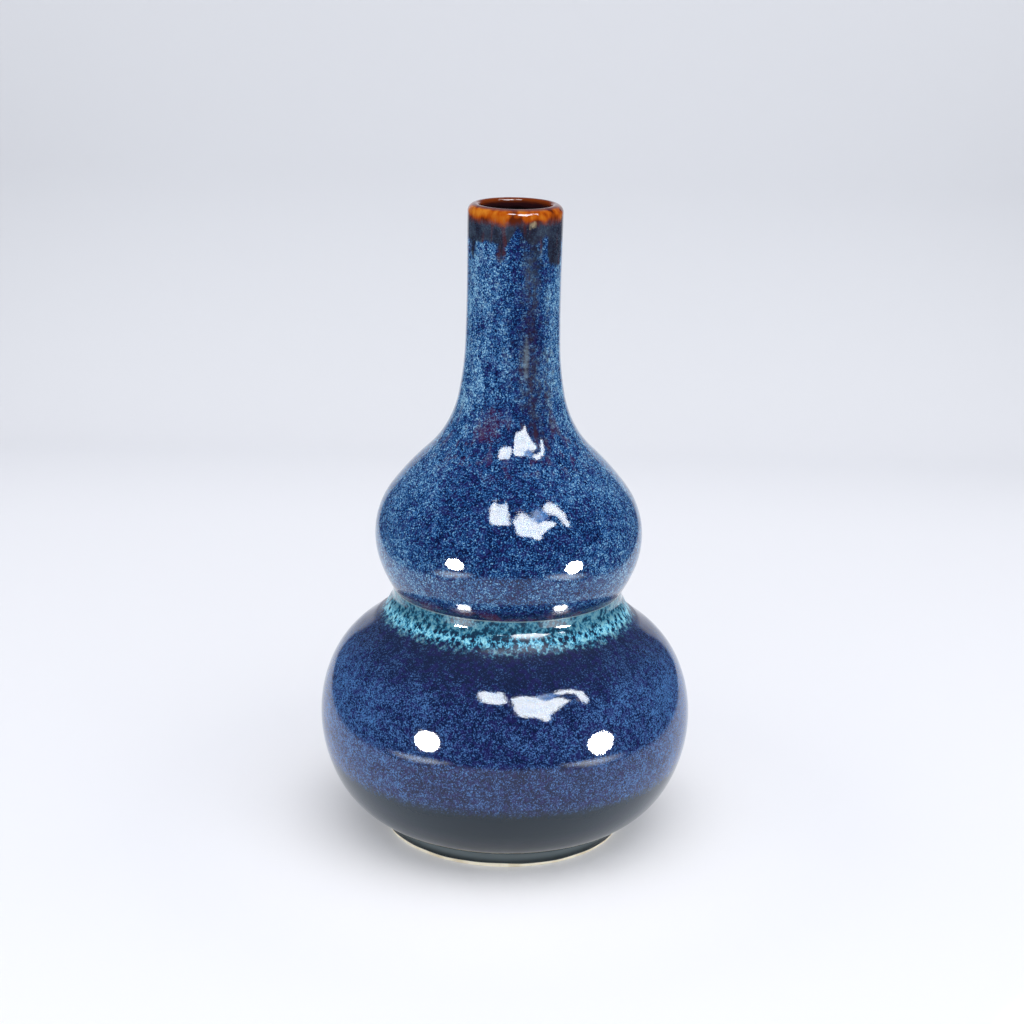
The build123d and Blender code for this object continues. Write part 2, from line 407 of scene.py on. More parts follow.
class Recipe:
    """A material's nodes, written step by step. Each step returns the socket that the next one takes."""

    def __init__(self, name: str) -> None:
        """Starts a material with an empty node tree.

        Args:
            name: the name of the material.
        """
        self.material = bpy.data.materials.new(name)
        self.material.use_nodes = True
        self.tree = self.material.node_tree
        self.tree.nodes.clear()

    def node(self, kind: str, **settings: object) -> bpy.types.Node:
        """Adds a node.

        Args:
            kind: the node's type.
            **settings: its settings by name.

        Returns:
            The node.
        """
        made = self.tree.nodes.new(kind)
        for name, value in settings.items():
            setattr(made, name, value)
        return made

    def feed(self, socket: Socket, value: Value) -> None:
        """Gives a socket its value.

        Args:
            socket: the input to fill.
            value: a number, vector or colour to set, or another node's output to link.
        """
        if isinstance(value, bpy.types.NodeSocket):
            self.tree.links.new(value, socket)
        else:
            socket.default_value = value

    def place(self) -> Socket:
        """The place on the object in millimetres."""
        coordinates = self.node("ShaderNodeTexCoord").outputs["Object"]
        return self.vector("MULTIPLY", coordinates, (1 / MM, 1 / MM, 1 / MM))

    def drawn_out(self, place: Value, share: float) -> Socket:
        """The place with its height scaled by a share, so that patterns run down the wall."""
        return self.vector("MULTIPLY", place, (1.0, 1.0, share))

    def radius(self, place: Value) -> Socket:
        """The distance of a place from the upright axis."""
        return self.vector("LENGTH", self.vector("MULTIPLY", place, (1.0, 1.0, 0.0)))

    def split(self, vector: Value) -> tuple[Socket, Socket, Socket]:
        """Takes a vector apart.

        Args:
            vector: the vector.

        Returns:
            Its three parts.
        """
        parts = self.node("ShaderNodeSeparateXYZ")
        self.feed(parts.inputs[0], vector)
        return parts.outputs[0], parts.outputs[1], parts.outputs[2]

    def attribute(self, name: str) -> Socket:
        """A number that the mesh carries at each point."""
        return self.node("ShaderNodeAttribute", attribute_name=name).outputs["Fac"]

    def vector(self, operation: str, first: Value, second: Value = (0, 0, 0)) -> Socket:
        """Works out a sum with vectors.

        Args:
            operation: Blender's name of the sum.
            first: the first vector.
            second: the second vector, where the sum takes one.

        Returns:
            The new vector, or a number where the sum is LENGTH.
        """
        made = self.node("ShaderNodeVectorMath", operation=operation)
        self.feed(made.inputs[0], first)
        self.feed(made.inputs[1], second)
        return made.outputs["Value" if operation == "LENGTH" else "Vector"]

    def math(self, operation: str, first: Value, second: Value = 0.0, third: Value = 0.0) -> Socket:
        """Works out a sum with numbers.

        Args:
            operation: Blender's name of the sum.
            first: the first number.
            second: the second number, where the sum takes one.
            third: the third number, where the sum takes one.

        Returns:
            The new number.
        """
        made = self.node("ShaderNodeMath", operation=operation)
        for socket, value in zip(made.inputs, (first, second, third)):
            self.feed(socket, value)
        return made.outputs[0]

    def noise(self, where: Value, size: float, detail: float = 2.0, rough: float = 0.5) -> Socket:
        """Cloudy noise.

        Args:
            where: the place, in the units of size.
            size: how large its patches are.
            detail: how many finer layers it has.
            rough: how strong those are.

        Returns:
            A number about 0.5.
        """
        made = self.node("ShaderNodeTexNoise")
        self.feed(made.inputs["Vector"], where)
        for name, value in (("Scale", 1 / size), ("Detail", detail), ("Roughness", rough)):
            made.inputs[name].default_value = value
        return made.outputs[0]

    def _scatter(self, where: Value, size: float) -> bpy.types.Node:
        """Scatters points, each with a patch of its own round it.

        Args:
            where: the place, in the units of size.
            size: the distance from point to point.

        Returns:
            The node, with the distance to the nearest point and the random colour of its patch.
        """
        made = self.node("ShaderNodeTexVoronoi")
        self.feed(made.inputs["Vector"], where)
        made.inputs["Scale"].default_value = 1 / size
        return made

    def cells(self, where: Value, size: float) -> Socket:
        """The distance to the nearest of many scattered points."""
        return self._scatter(where, size).outputs["Distance"]

    def chance(self, where: Value, size: float) -> Socket:
        """A random number for the patch round each of many scattered points."""
        return self.split(self._scatter(where, size).outputs["Color"])[0]

    def between(self, value: Value, rise: tuple[float, float], fall: tuple[float, float]) -> Socket:
        """A soft rise from 0 to 1 and a soft fall back to 0, each given by where it starts and ends."""
        return self.math("MULTIPLY", self.step(value, *rise), self.step(value, fall[1], fall[0]))

    def swing(self, pattern: Value, width: float) -> Socket:
        """A pattern from 0 to 1, spread over a width that has 0 in its middle."""
        return self.math("MULTIPLY_ADD", pattern, width, -width / 2)

    def step(self, value: Value, low: Value, high: Value) -> Socket:
        """Steps softly from 0 to 1.

        Args:
            value: the number to look at.
            low: where the step starts.
            high: where it ends, which may be below low.

        Returns:
            A number from 0 to 1.
        """
        made = self.node("ShaderNodeMapRange", interpolation_type="SMOOTHSTEP")
        for socket, given in zip(made.inputs, (value, low, high)):
            self.feed(socket, given)
        return made.outputs[0]

    def ramp(self, value: Value, stops: Stops) -> Socket:
        """Runs through several colours.

        Args:
            value: the number to look at, 0 to 1.
            stops: where each colour lies, and the colour.

        Returns:
            The colour.
        """
        made = self.node("ShaderNodeValToRGB")
        elements = made.color_ramp.elements
        while len(elements) < len(stops):
            elements.new(0.5)
        for element, (position, colour) in zip(elements, stops):
            element.position = position
            element.color = colour
        self.feed(made.inputs[0], value)
        return made.outputs[0]

    def mix(self, share: Value, first: Value, second: Value) -> Socket:
        """Lays one colour over another.

        Args:
            share: how much of the second colour shows, 0 to 1.
            first: the colour below.
            second: the colour on top.

        Returns:
            The colour.
        """
        made = self.node("ShaderNodeMix", data_type="RGBA")
        self.feed(made.inputs[0], share)
        self.feed(made.inputs[6], first)
        self.feed(made.inputs[7], second)
        return made.outputs[2]

    def veil(self, where: Value, cover: float, under: Value, over: Value) -> Socket:
        """One colour laid over another where a pattern shows, covering it only in part."""
        return self.mix(self.math("MULTIPLY", where, cover), under, over)

    def bump(self, height: Value, depth: float) -> Socket:
        """A normal that follows a relief.

        Args:
            height: the relief, 0 to 1.
            depth: how deep it is in metres.

        Returns:
            The normal.
        """
        made = self.node("ShaderNodeBump")
        made.inputs["Distance"].default_value = depth
        self.feed(made.inputs["Height"], height)
        return made.outputs[0]

    def surface(self, colour: Value, roughness: Value, normal: Socket | None = None, **inputs: Value) -> None:
        """Ends the recipe with its shader.

        Args:
            colour: the base colour.
            roughness: the roughness.
            normal: the normal, if it has a relief.
            **inputs: other inputs of the shader, with spaces written as underscores.
        """
        shader = self.node("ShaderNodeBsdfPrincipled")
        self.feed(shader.inputs["Base Color"], colour)
        self.feed(shader.inputs["Roughness"], roughness)
        for name, value in inputs.items():
            self.feed(shader.inputs[name.replace("_", " ")], value)
        if normal is not None:
            self.feed(shader.inputs["Normal"], normal)
        self.finish(shader.outputs[0])

    def glow(self, colour: Value, strength: Value) -> None:
        """Ends the recipe with a light of its own.

        Args:
            colour: the colour of the light.
            strength: how bright it is, where 1 is white.
        """
        light = self.node("ShaderNodeEmission")
        self.feed(light.inputs["Color"], colour)
        self.feed(light.inputs["Strength"], strength)
        self.finish(light.outputs[0])

    def finish(self, shader: Socket) -> None:
        """Links a shader to the material's output."""
        self.tree.links.new(shader, self.node("ShaderNodeOutputMaterial").inputs["Surface"])


@dataclass(frozen=True)
class Marks:
    """The patterns that the colours of the drip glaze follow, and the place in the glaze; side, the turn of
    the wall from the camera, paints a paler reflection towards the outline.
    """

    place: Socket
    height: Socket
    # How far the wall turns from the camera; it paints a paler reflection towards the outline.
    side: Socket
    grain_and_side_sheen: Socket
    cloud: Socket
    streak: Socket
    ragged: Socket


@dataclass(frozen=True)
class Spot:
    """A small patch of another colour in the glaze, with its middle and its reach in millimetres."""

    middle: Point
    across: float
    along: float
    colour: Colour


@dataclass(frozen=True)
class DripGlaze:
    """The outer glaze: blue crystals over navy, a turquoise pool at the waist, dark iron and an amber lip.

    The sizes of its patterns are in millimetres.
    """

    crystal_size: float = 0.46
    dot_size: float = 0.85
    mottle_size: float = 2.6
    cloud_size: float = 9.0
    streak_size: float = 3.2
    ragged_size: float = 1.9
    fleck_size: float = 1.5
    tear_size: float = 0.75
    hole_size: float = 2.1
    lip_streak_size: float = 1.6
    lip_patch_size: float = 5.0
    peel_size: float = 2.6
    peel_depth: float = 0.026 * MM
    cloud_width: float = 0.22
    streak_width: float = 0.30
    mottle_width: float = 0.26
    roughness: float = 0.035
    refraction: float = 1.48
    navy: Colour = srgb(9, 18, 54)
    blue: Colour = srgb(22, 56, 114)
    sky: Colour = srgb(60, 118, 174)
    frost: Colour = srgb(156, 202, 224)
    deep_navy: Colour = srgb(12, 23, 56)
    deep_blue: Colour = srgb(34, 56, 108)
    deep_sky: Colour = srgb(82, 124, 180)
    violet: Colour = srgb(40, 34, 94)
    # The dull colour of painted shade on the top of the lower bulb, under the pool.
    shade_under_pool: Colour = srgb(38, 48, 74)
    hole: Colour = srgb(18, 32, 62)
    teal: Colour = srgb(30, 68, 92)
    cyan: Colour = srgb(70, 166, 208)
    foam: Colour = srgb(154, 222, 236)
    maroon: Colour = srgb(74, 28, 46)
    # Painted highlight: the pale line along the crease, where the roll turns away from the camera.
    crease: Colour = srgb(132, 156, 160)
    slate: Colour = srgb(52, 58, 70)
    dark_slate: Colour = srgb(34, 34, 44)
    run_brown: Colour = srgb(44, 30, 46)
    cream: Colour = srgb(206, 190, 150)
    # The grey of a painted reflection of window light down the neck.
    painted_glint_grey: Colour = srgb(122, 136, 142)
    band: Colour = srgb(14, 32, 44)
    # The dark band as a painted reflection pales it towards the outline.
    band_side_sheen: Colour = srgb(44, 62, 78)
    # The colour of a painted highlight a few millimetres above the foot.
    painted_foot_sheen: Colour = srgb(96, 108, 112)
    foot_wall: Colour = srgb(34, 44, 48)
    rust: Colour = srgb(88, 34, 12)
    amber: Colour = srgb(170, 76, 10)
    gold: Colour = srgb(200, 120, 34)
    plum: Colour = srgb(92, 70, 78)
    # ember, dark_plum and black: the lip's glaze down the bore, darkened by painted shade.
    ember: Colour = srgb(118, 50, 16)
    dark_plum: Colour = srgb(50, 24, 28)
    black: Colour = srgb(14, 9, 10)
    upper_blues: Stops = ((0.38, navy), (0.49, blue), (0.60, sky), (0.74, frost))
    lower_blues: Stops = ((0.40, deep_navy), (0.52, deep_blue), (0.64, deep_sky), (0.76, sky))
    pool_blues: Stops = ((0.36, hole), (0.46, teal), (0.56, cyan), (0.70, foam))
    lip_browns: Stops = ((0.34, rust), (0.47, amber), (0.62, gold))
    neck_spots: tuple[Spot, ...] = (
        # Painted reflection: a grey streak of window light down the front of the neck; the maroon patch below
        # is real.
        Spot((5.2, -17.7, 194.5), 1.5, 10.0, painted_glint_grey),
        Spot((-8.0, -21.8, 170.0), 5.5, 9.0, maroon),
    )
    lip_spot: Spot = Spot((6.5, -16.9, 244.2), 1.7, 1.5, cream)

    def make(self, wall: Wall) -> bpy.types.Material:
        """Makes the material.

        Args:
            wall: the wall that it covers, for the heights where the glaze changes.

        Returns:
            The material.
        """
        mix = Recipe("drip_glaze")
        marks = self._marks(mix)
        colour = self._blue(mix, wall, marks)
        fleck = mix.step(mix.chance(marks.place, self.fleck_size), 0.70, 0.78)
        colour = mix.veil(fleck, 0.4, colour, self.violet)
        colour = self._pool(mix, wall, marks, colour)
        colour = self._band(mix, wall, marks, colour)
        colour = self._iron(mix, wall, marks, colour)
        for spot in self.neck_spots:
            colour = self._spot(mix, marks, spot, colour)
        colour = self._lip(mix, wall, marks, colour)
        colour = self._spot(mix, marks, self.lip_spot, colour)

        peel = mix.noise(marks.place, self.peel_size)
        relief = mix.math("MULTIPLY_ADD", marks.grain_and_side_sheen, 0.30, peel)
        roll = wall.roll_foot / MM
        crystals = mix.between(marks.height, (roll - 2.8, roll - 1.0), (roll + 5.0, roll + 6.6))
        rough = mix.math("MULTIPLY_ADD", crystals, 0.22, self.roughness)
        gloss = mix.math("MULTIPLY_ADD", crystals, -0.40, 0.5)
        normal = mix.bump(relief, self.peel_depth)
        mix.surface(colour, rough, normal, IOR=self.refraction, Specular_IOR_Level=gloss)
        return mix.material

    def _marks(self, mix: Recipe) -> Marks:
        """Makes the patterns that the colours follow.

        Args:
            mix: the recipe.

        Returns:
            The patterns.
        """
        place = mix.place()
        x, _, height = mix.split(place)
        # side is the turn of the wall away from the camera; it paints a paler reflection towards the outline.
        side = mix.math("DIVIDE", mix.math("ABSOLUTE", x), mix.radius(place))
        side = mix.math("POWER", side, 2.0)
        dots = mix.math("MULTIPLY_ADD", mix.cells(place, self.dot_size), -0.26, 0.14)
        mottle = mix.swing(mix.noise(place, self.mottle_size, 2.0, 0.55), self.mottle_width)
        grain_and_side_sheen = mix.math("ADD", mix.noise(place, self.crystal_size, 2.0, 0.62), dots)
        grain_and_side_sheen = mix.math("ADD", grain_and_side_sheen, mottle)
        # Painted reflection: paler towards the outline, a little darker where the wall faces the camera.
        grain_and_side_sheen = mix.math("ADD", grain_and_side_sheen, mix.math("MULTIPLY_ADD", side, 0.11, -0.042))
        return Marks(
            place=place,
            height=height,
            side=side,
            grain_and_side_sheen=grain_and_side_sheen,
            cloud=mix.noise(place, self.cloud_size, 3.0, 0.55),
            streak=mix.noise(mix.drawn_out(place, 0.16), self.streak_size),
            ragged=mix.noise(place, self.ragged_size, 3.0, 0.6),
        )

    def _blue(self, mix: Recipe, wall: Wall, marks: Marks) -> Socket:
        """Colours the blue glaze, with paler crystals up the neck, deeper ones on the lower bulb, and painted
        shade, with real maroon patches in it, just above the crease.

        Args:
            mix: the recipe.
            wall: the wall that it covers.
            marks: the patterns that it follows.

        Returns:
            The colour.
        """
        height = marks.height
        waist, root = wall.waist / MM, wall.neck_root.height / MM
        below, above = self._lower_blue(mix, wall, marks), self._upper_blue(mix, wall, marks)
        colour = mix.mix(mix.step(height, waist - 0.1, waist + 0.1), below, above)
        # Painted shade on the underside of the upper bulb just above the crease, with real maroon patches in
        # it.
        near_crease = mix.between(height, (waist, waist + 0.3), (waist + 1.5, waist + 6.5))
        painted_shade_and_maroon = mix.mix(mix.step(marks.cloud, 0.47, 0.55), self.deep_navy, self.maroon)
        colour = mix.veil(near_crease, 0.75, colour, painted_shade_and_maroon)
        stain = mix.between(height, (root - 6, root + 4), (root + 12, root + 26))
        stain = mix.math("MULTIPLY", stain, mix.step(marks.streak, 0.54, 0.64))
        return mix.veil(stain, 0.5, colour, self.maroon)

    def _upper_blue(self, mix: Recipe, wall: Wall, marks: Marks) -> Socket:
        """Colours the blue crystals of the upper bulb and the neck.

        Args:
            mix: the recipe.
            wall: the wall that they cover.
            marks: the patterns that they follow.

        Returns:
            The colour.
        """
        height = marks.height
        waist, belly = wall.waist / MM, wall.upper_belly.height / MM
        on_neck = mix.step(height, wall.neck_root.height / MM - 20, wall.throat.height / MM)
        by_streak = mix.swing(marks.streak, self.streak_width)
        by_cloud = mix.swing(marks.cloud, self.cloud_width)
        tone = mix.math("ADD", marks.grain_and_side_sheen, mix.math("MULTIPLY_ADD", on_neck, by_streak, by_cloud))
        paler = (
            (mix.between(height, (belly, belly + 10), (belly + 40, belly + 54)), -0.025),
            (mix.between(height, (waist + 3, waist + 8), (belly - 9, belly + 2)), 0.03),
            (on_neck, 0.03),
        )
        for where, share in paler:
            tone = mix.math("MULTIPLY_ADD", where, share, tone)
        return mix.ramp(tone, self.upper_blues)

    def _lower_blue(self, mix: Recipe, wall: Wall, marks: Marks) -> Socket:
        """Colours the blue crystals of the lower bulb, with painted shade on the band just under the pool.

        Args:
            mix: the recipe.
            wall: the wall that they cover.
            marks: the patterns that they follow.

        Returns:
            The colour.
        """
        # Painted shade: the top of the lower bulb, under the pool and the upper bulb, is darker and duller.
        in_shade = mix.step(marks.height, wall.shoulder.height / MM - 14, wall.roll_foot / MM)
        tone = mix.math("ADD", marks.grain_and_side_sheen, mix.swing(marks.cloud, self.cloud_width))
        tone = mix.math("MULTIPLY_ADD", in_shade, -0.09, tone)
        return mix.veil(in_shade, 0.5, mix.ramp(tone, self.lower_blues), self.shade_under_pool)

    def _pool(self, mix: Recipe, wall: Wall, marks: Marks, under: Socket) -> Socket:
        """Lays the turquoise pool at the waist: a pale web round dark holes, torn into streaks below.

        Args:
            mix: the recipe.
            wall: the wall that it covers.
            marks: the patterns that it follows.
            under: the colour below it.

        Returns:
            The colour.
        """
        place, height, ragged = marks.place, marks.height, marks.ragged
        waist = wall.waist / MM
        torn = mix.noise(mix.drawn_out(place, 0.75), self.tear_size, 2.0, 0.66)
        holes = mix.cells(mix.drawn_out(place, 0.85), self.hole_size)
        # Painted reflection: the web is paler towards the outline.
        web = mix.math("MULTIPLY_ADD", marks.side, 0.10, mix.math("ADD", torn, -0.26))
        web = mix.math("MULTIPLY_ADD", holes, 0.50, web)
        colour = mix.ramp(web, self.pool_blues)
        open_hole = mix.step(mix.math("MULTIPLY_ADD", torn, 0.30, holes), 0.50, 0.40)
        colour = mix.veil(open_hole, 0.9, colour, self.hole)
        upright = mix.step(height, wall.swell.height / MM - 0.5, wall.collar.height / MM - 2.0)
        colour = mix.veil(upright, 0.58, colour, self.teal)
        foot = mix.math("MULTIPLY_ADD", ragged, 9.0, wall.roll_foot / MM - 3.2)
        inside = mix.step(height, mix.math("ADD", foot, -1.8), mix.math("ADD", foot, 2.6))
        inside = mix.math("MULTIPLY", inside, mix.step(height, waist + 0.02, waist - 0.02))
        colour = mix.mix(inside, under, colour)
        # Painted highlight: a thin pale line along the crease, where the roll turns away from the camera.
        near = mix.math("ABSOLUTE", mix.math("ADD", height, 0.1 - waist))
        return mix.veil(mix.step(near, 0.34, 0.12), 0.7, colour, self.crease)

    @staticmethod
    def _spot(mix: Recipe, marks: Marks, spot: Spot, under: Socket) -> Socket:
        """Lays a small patch with a ragged edge over the glaze.

        Args:
            mix: the recipe.
            marks: the patterns that its edge follows.
            spot: the patch.
            under: the colour below it.

        Returns:
            The colour.
        """
        away = mix.vector("ADD", marks.place, tuple(-part for part in spot.middle))
        away = mix.vector("MULTIPLY", away, (1 / spot.across, 1 / spot.across, 1 / spot.along))
        away = mix.vector("LENGTH", away)
        inside = mix.step(mix.math("MULTIPLY_ADD", marks.ragged, 2.2, away), 2.2, 1.4)
        return mix.veil(inside, 0.5, under, spot.colour)

    def _band(self, mix: Recipe, wall: Wall, marks: Marks, under: Socket) -> Socket:
        """Lays the dark band over the foot, where only the base glaze lies, with a painted highlight just
        above the foot and a painted reflection that pales it towards the outline.

        Args:
            mix: the recipe.
            wall: the wall that it covers.
            marks: the patterns that it follows.
            under: the colour above the band.

        Returns:
            The colour.
        """
        height, grain_and_side_sheen, ragged = marks.height, marks.grain_and_side_sheen, marks.ragged
        edge = mix.math("MULTIPLY_ADD", ragged, 5.0, wall.band_top / MM - 2.5)
        bare = mix.step(mix.math("MULTIPLY_ADD", grain_and_side_sheen, 4.0, height), mix.math("ADD", edge, 5.2), edge)
        foot = wall.foot.height / MM
        # Painted reflection: the band is paler towards the outline.
        dark = mix.mix(marks.side, self.band, self.band_side_sheen)
        # Painted highlight: a paler band a few millimetres above the foot.
        dark = mix.mix(mix.step(height, foot + 4.5, foot + 0.6), dark, self.painted_foot_sheen)
        dark = mix.mix(mix.step(height, foot + 0.2, foot - 2.4), dark, self.foot_wall)
        return mix.mix(bare, under, dark)

    def _iron(self, mix: Recipe, wall: Wall, marks: Marks, under: Socket) -> Socket:
        """Lays the dark iron glaze under the lip and in the runs, with a ragged edge.

        Args:
            mix: the recipe.
            wall: the wall that it covers.
            marks: the patterns that it follows.
            under: the colour below it.

        Returns:
            The colour.
        """
        depth = mix.attribute("iron_depth")
        for pattern, width in ((marks.ragged, 3.6), (marks.grain_and_side_sheen, 1.6), (marks.streak, 2.4)):
            depth = mix.math("MULTIPLY_ADD", pattern, width, mix.math("ADD", depth, -width / 2))
        inside = mix.step(depth, -0.7, 1.1)
        dark = mix.mix(mix.step(marks.cloud, 0.40, 0.58), self.dark_slate, self.slate)
        dark = mix.veil(mix.step(marks.streak, 0.57, 0.70), 0.5, dark, self.rust)
        down = mix.step(marks.height, wall.blue_top / MM - 11, wall.blue_top / MM - 26)
        dark = mix.veil(down, 0.75, dark, self.run_brown)
        return mix.veil(inside, 0.92, under, dark)

    def _lip(self, mix: Recipe, wall: Wall, marks: Marks, under: Socket) -> Socket:
        """Lays the amber of the lip, gold on its shoulder, with rusty streaks that run out of it, and painted
        shade that darkens it to black down the bore.

        Args:
            mix: the recipe.
            wall: the wall that it covers.
            marks: the patterns that it follows.
            under: the colour below it.

        Returns:
            The colour.
        """
        place, height, ragged = marks.place, marks.height, marks.ragged
        fine = mix.noise(mix.drawn_out(place, 0.30), self.lip_streak_size, 2.0, 0.6)
        patch = mix.noise(place, self.lip_patch_size, 1.0, 0.5)
        low = mix.step(height, wall.lip_foot / MM + 2.2, wall.lip_foot / MM - 1.6)
        tone = mix.math("MULTIPLY_ADD", patch, 0.9, mix.math("MULTIPLY_ADD", fine, 0.35, -0.12))
        tone = mix.math("MULTIPLY_ADD", low, -0.16, tone)
        colour = mix.ramp(tone, self.lip_browns)
        crest = mix.step(height, wall.top / MM - 0.9, wall.top / MM - 0.1)
        colour = mix.veil(crest, 0.8, colour, self.plum)
        edge = mix.math("MULTIPLY_ADD", ragged, 2.0, wall.lip_foot / MM - 3.4)
        edge = mix.math("MULTIPLY_ADD", fine, 4.0, edge)
        inside = mix.step(height, mix.math("ADD", edge, -2.2), mix.math("ADD", edge, 1.6))
        colour = mix.mix(inside, under, colour)
        # Painted shade: down the bore the glaze turns ember, then dark plum, then black within a few
        # millimetres.
        bore = mix.step(mix.radius(place), wall.crest_radius / MM - 0.05, wall.bore_radius / MM + 0.35)
        down = mix.math("MULTIPLY_ADD", patch, 1.6, mix.math("ADD", height, -0.8 - wall.top / MM))
        deep = mix.mix(mix.step(down, -4.2, -2.2), self.black, self.dark_plum)
        deep = mix.mix(mix.step(down, -2.2, -0.7), deep, self.ember)
        return mix.mix(bore, colour, deep)


@dataclass(frozen=True)
class LinerGlaze:
    """The glaze inside: a little rusty under the lip, and soon nearly black."""

    name: str = "liner_glaze"
    rust: Colour = srgb(34, 14, 10)
    black: Colour = srgb(12, 9, 10)
    fade: float = 12.0
    streak_size: float = 2.2
    peel_size: float = 2.6
    peel_depth: float = 0.02 * MM
    roughness: float = 0.12

    def make(self, wall: Wall) -> bpy.types.Material:
        """Makes the material.

        Args:
            wall: the wall whose inside it covers, for the height of its top.

        Returns:
            The material.
        """
        mix = Recipe(self.name)
        place = mix.place()
        height = mix.split(place)[2]
        streak = mix.noise(mix.drawn_out(place, 0.3), self.streak_size)
        down = mix.math("MULTIPLY_ADD", streak, 6.0, mix.math("ADD", height, -3.0))
        top = wall.top / MM
        colour = mix.mix(mix.step(down, top - self.fade, top - 3.0), self.black, self.rust)
        peel = mix.noise(place, self.peel_size)
        mix.surface(colour, self.roughness, mix.bump(peel, self.peel_depth))
        return mix.material


@dataclass(frozen=True)
class BareClay:
    """Fired clay with no glaze: cream, a little gritty, with faint turning lines."""

    name: str
    pale: Colour = srgb(246, 238, 214)
    dark: Colour = srgb(224, 210, 178)
    speck: Colour = srgb(150, 128, 98)
    ring_size: float = 0.7
    grit_size: float = 0.5
    patch_size: float = 6.0
    relief_depth: float = 0.06 * MM

    def make(self) -> bpy.types.Material:
        """Makes the material.

        Returns:
            The material.
        """
        mix = Recipe(self.name)
        place = mix.place()
        rings = mix.noise(mix.vector("MULTIPLY", place, (0.05, 0.05, 1.0)), self.ring_size)
        grit = mix.noise(place, self.grit_size, 3.0, 0.65)
        colour = mix.mix(mix.step(mix.noise(place, self.patch_size), 0.4, 0.65), self.pale, self.dark)
        colour = mix.mix(mix.step(grit, 0.66, 0.74), colour, self.speck)
        relief = mix.math("MULTIPLY_ADD", rings, 0.6, grit)
        roughness = mix.math("MULTIPLY_ADD", grit, 0.2, 0.7)
        mix.surface(colour, roughness, mix.bump(relief, self.relief_depth))
        return mix.material


@dataclass(frozen=True)
class Surround:
    """The pale paper of the table and sweep, with painted light making it whitest round the vase, painted
    shade greying it towards the back, and dark at its outer edges.

    Each pair of distances, in millimetres, is where a change starts and where it ends. The dark edges on
    the table are hidden from the camera and show only in the glaze.
    """

    # middle is painted light round the vase, and far is painted shade towards the back.
    middle: Colour = srgb(250, 250, 252)
    near: Colour = srgb(238, 239, 243)
    far: Colour = srgb(216, 218, 222)
    edge: Colour = srgb(70, 76, 92)
    to_painted_light: tuple[float, float] = (150.0, 60.0)
    to_painted_shade: tuple[float, float] = (380.0, 800.0)
    half_width: float = 190.0
    widening: float = 0.24
    to_side: tuple[float, float] = (22.0, 95.0)
    to_front: tuple[float, float] = (255.0, 335.0)
    to_viewer: tuple[float, float] = (-20.0, -120.0)
    to_top: tuple[float, float] = (320.0, 700.0)
    fibre_size: float = 1.2
    fibre_depth: float = 0.02 * MM
    roughness: float = 0.8

    def make(self) -> bpy.types.Material:
        """Makes the material.

        Returns:
            The material.
        """
        mix = Recipe("surround_paper")
        place = mix.place()
        x, y, height = mix.split(place)
        across = mix.radius(place)
        fibre = mix.noise(place, self.fibre_size, 3.0, 0.6)
        # Painted light round the vase, and painted shade towards the back.
        colour = mix.mix(mix.step(across, *self.to_painted_light), self.near, self.middle)
        colour = mix.mix(mix.step(y, *self.to_painted_shade), colour, self.far)
        beside = mix.math("ADD", mix.math("ABSOLUTE", x), -self.half_width)
        beside = mix.math("MULTIPLY_ADD", y, -self.widening, beside)
        front = mix.math("MULTIPLY", mix.step(across, *self.to_front), mix.step(y, *self.to_viewer))
        outside = mix.math("MAXIMUM", mix.step(beside, *self.to_side), front)
        seen = mix.node("ShaderNodeLightPath").outputs["Is Camera Ray"]
        outside = mix.math("MULTIPLY", outside, mix.math("SUBTRACT", 1.0, seen))
        outside = mix.math("MAXIMUM", outside, mix.step(height, *self.to_top))
        colour = mix.mix(outside, colour, self.edge)
        mix.surface(colour, self.roughness, mix.bump(fibre, self.fibre_depth), Specular_IOR_Level=0.0)
        return mix.material


def revolve(
    name: str, section: np.ndarray, starts: np.ndarray, ends: np.ndarray, segments: int, weld: bool = False
) -> bpy.types.Object:
    """Turns a closed section round the axis of the vase.

    Args:
        name: the name of the new piece.
        section: its points as (radius, height), in order, with its outside on the right.
        starts: the outward normal of each side of the section at its first point.
        ends: that normal at the side's last point.
        segments: how many steps go round the axis.
        weld: whether points that meet on the axis become one.

    Returns:
        The new object, with its normals set.
    """
    count = len(section)
    angle = (np.arange(segments) + 0.5) * 2 * pi / segments
    ring = np.stack([np.cos(angle), np.sin(angle)], axis=1)
    points = np.empty((count, segments, 3))
    points[..., :2] = section[:, None, :1] * ring[None]
    points[..., 2] = section[:, None, 1]
    low = np.arange(count)[:, None] * segments
    high = np.roll(low, -1, axis=0)
    here = np.arange(segments)[None]
    there = np.roll(here, -1, axis=1)
    faces = np.stack([low + here, low + there, high + there, high + here], axis=2).reshape(-1, 4)
    mesh = bpy.data.meshes.new(name)
    mesh.from_pydata(points.reshape(-1, 3).tolist(), [], faces.tolist())
    mesh.shade_smooth()

    def around(flat: np.ndarray, turned: np.ndarray) -> np.ndarray:
        """Turns the normals of the section to each step round the axis.

        Args:
            flat: the normals as (outwards, up).
            turned: the outward direction at each step.

        Returns:
            The normals in space, by point and step.
        """
        solid = np.empty((count, segments, 3))
        solid[..., :2] = flat[:, None, :1] * turned[None]
        solid[..., 2] = flat[:, None, 1]
        return solid

    beside = np.roll(ring, -1, axis=0)
    corners = [around(starts, ring), around(starts, beside), around(ends, beside), around(ends, ring)]
    mesh.normals_split_custom_set(np.stack(corners, axis=2).reshape(-1, 3).tolist())
    if weld:
        weld_points(mesh)
    piece = bpy.data.objects.new(name, mesh)
    bpy.context.scene.collection.objects.link(piece)
    return piece


